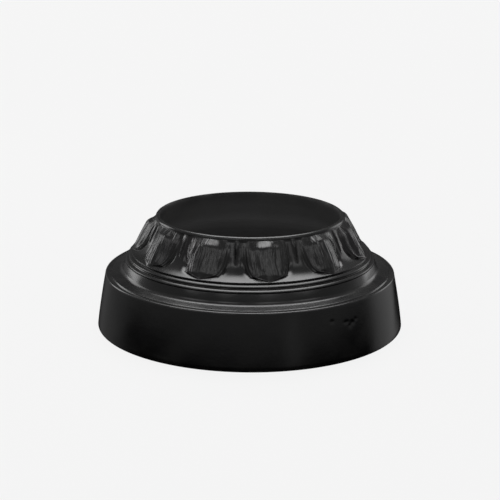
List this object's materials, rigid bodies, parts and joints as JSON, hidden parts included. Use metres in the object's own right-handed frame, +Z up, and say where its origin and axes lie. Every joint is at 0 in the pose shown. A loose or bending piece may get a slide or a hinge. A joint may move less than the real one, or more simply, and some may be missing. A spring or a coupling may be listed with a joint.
{
  "type": "pole base cover",
  "caption": "Round cast cover for the foot of a pole: a carved leaf band on a flared bell, reeds, a flat shoulder and a tall plain skirt, open through the middle.",
  "frame": {"origin": "centre of the foot ring, on the ground plane that the skirt stands on", "axes": "+Z up along the pole's axis, -Y towards the centre of one leaf, which is the front"},
  "size_m": [0.3798, 0.38, 0.138],
  "materials": {
    "black_paint": "satin"
  },
  "bodies": {
    "root": {"pole_base_cover": "black_paint"}
  },
  "joints": []
}
